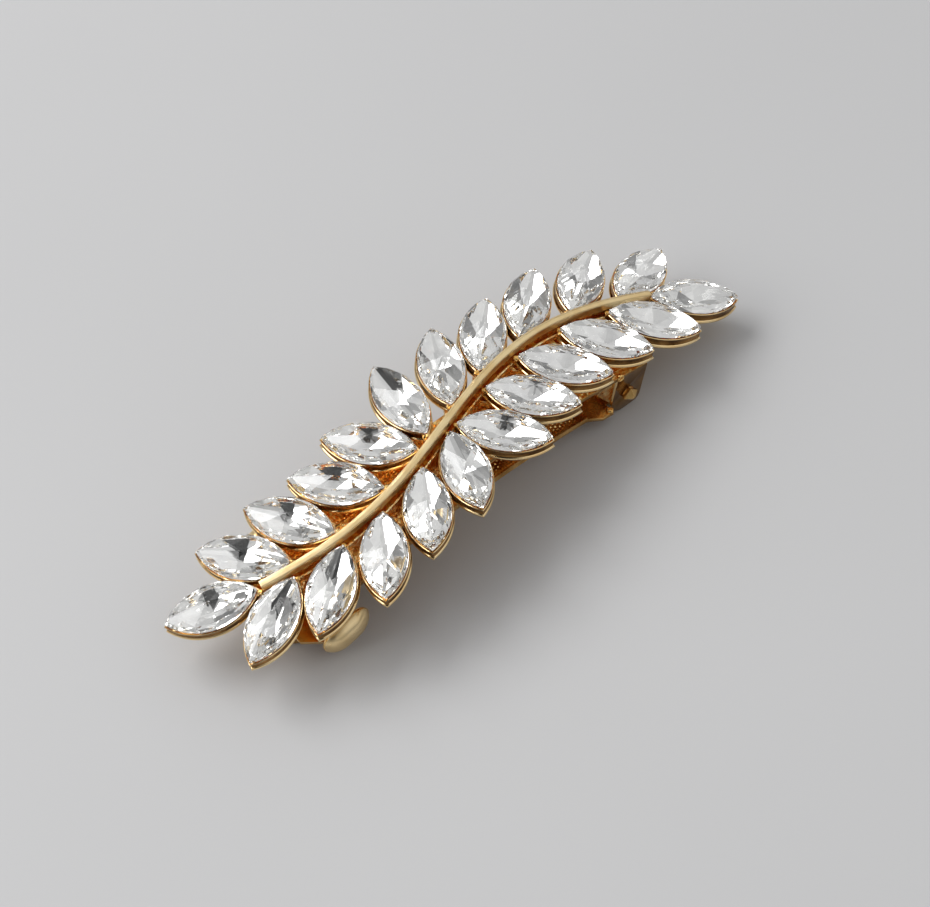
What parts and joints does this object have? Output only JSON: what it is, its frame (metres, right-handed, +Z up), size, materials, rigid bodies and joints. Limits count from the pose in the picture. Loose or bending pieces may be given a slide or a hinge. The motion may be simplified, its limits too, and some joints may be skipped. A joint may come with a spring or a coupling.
{
  "type": "rhinestone hair clip",
  "caption": "Arched hair barrette with a leaf spray of navette stones in gold cups along a curved stem, on a spring clasp with a hinged arm and a squeeze latch.",
  "frame": {"origin": "centre of the outline in plan, at the level of the table the clip rests on", "axes": "+X along the clip towards its hinge end, +Y across it, +Z up through the stones"},
  "size_m": [0.0874, 0.0266, 0.0154],
  "materials": {
    "crystal": "polished",
    "cup_gold": "polished",
    "stem_gold": "satin",
    "frame_gold": "polished",
    "clasp_gold": "polished",
    "arm_gold": "satin",
    "spring_gold": "satin",
    "pin_gold": "polished",
    "lever_gold": "satin"
  },
  "bodies": {
    "spray": {"stone_1": "crystal", "stone_2": "crystal", "stone_3": "crystal", "stone_4": "crystal", "stone_5": "crystal", "stone_6": "crystal", "stone_7": "crystal", "stone_8": "crystal", "stone_9": "crystal", "stone_10": "crystal", "stone_11": "crystal", "stone_12": "crystal", "stone_13": "crystal", "stone_14": "crystal", "stone_15": "crystal", "stone_16": "crystal", "stone_17": "crystal", "stone_18": "crystal", "stone_19": "crystal", "stone_20": "crystal", "stone_21": "crystal", "stone_22": "crystal", "cup_1": "cup_gold", "cup_2": "cup_gold", "cup_3": "cup_gold", "cup_4": "cup_gold", "cup_5": "cup_gold", "cup_6": "cup_gold", "cup_7": "cup_gold", "cup_8": "cup_gold", "cup_9": "cup_gold", "cup_10": "cup_gold", "cup_11": "cup_gold", "cup_12": "cup_gold", "cup_13": "cup_gold", "cup_14": "cup_gold", "cup_15": "cup_gold", "cup_16": "cup_gold", "cup_17": "cup_gold", "cup_18": "cup_gold", "cup_19": "cup_gold", "cup_20": "cup_gold", "cup_21": "cup_gold", "cup_22": "cup_gold", "stem": "stem_gold", "spray_frame": "frame_gold", "base_plate": "clasp_gold", "hinge_pin": "pin_gold", "bow_spring": "spring_gold", "latch_bracket": "clasp_gold", "latch_rivets": "pin_gold"},
    "arm": {"clasp_arm": "arm_gold"},
    "lever_near": {"latch_lever_near": "lever_gold"},
    "lever_far": {"latch_lever_far": "lever_gold"}
  },
  "joints": [
    {"name": "arm_hinge", "type": "hinge", "parent": "spray", "child": "arm", "pos_m": [0.02366, -0.00091, 0.00278], "axis": [0, -1, 0], "range_deg": [0, 75]},
    {"name": "near_squeeze", "type": "hinge", "parent": "spray", "child": "lever_near", "pos_m": [-0.03053, -0.00281, 0.00492], "axis": [0.9754, 0, 0.2205], "range_deg": [0, 7], "stiffness_Nm_per_rad": 0.02},
    {"name": "far_squeeze", "type": "hinge", "parent": "spray", "child": "lever_far", "pos_m": [-0.03053, 0.00099, 0.00492], "axis": [-0.9754, 0, -0.2205], "range_deg": [0, 7], "stiffness_Nm_per_rad": 0.02}
  ],
  "couplings": [
    {"joint": "far_squeeze", "follows": "near_squeeze", "ratio": 1}
  ]
}
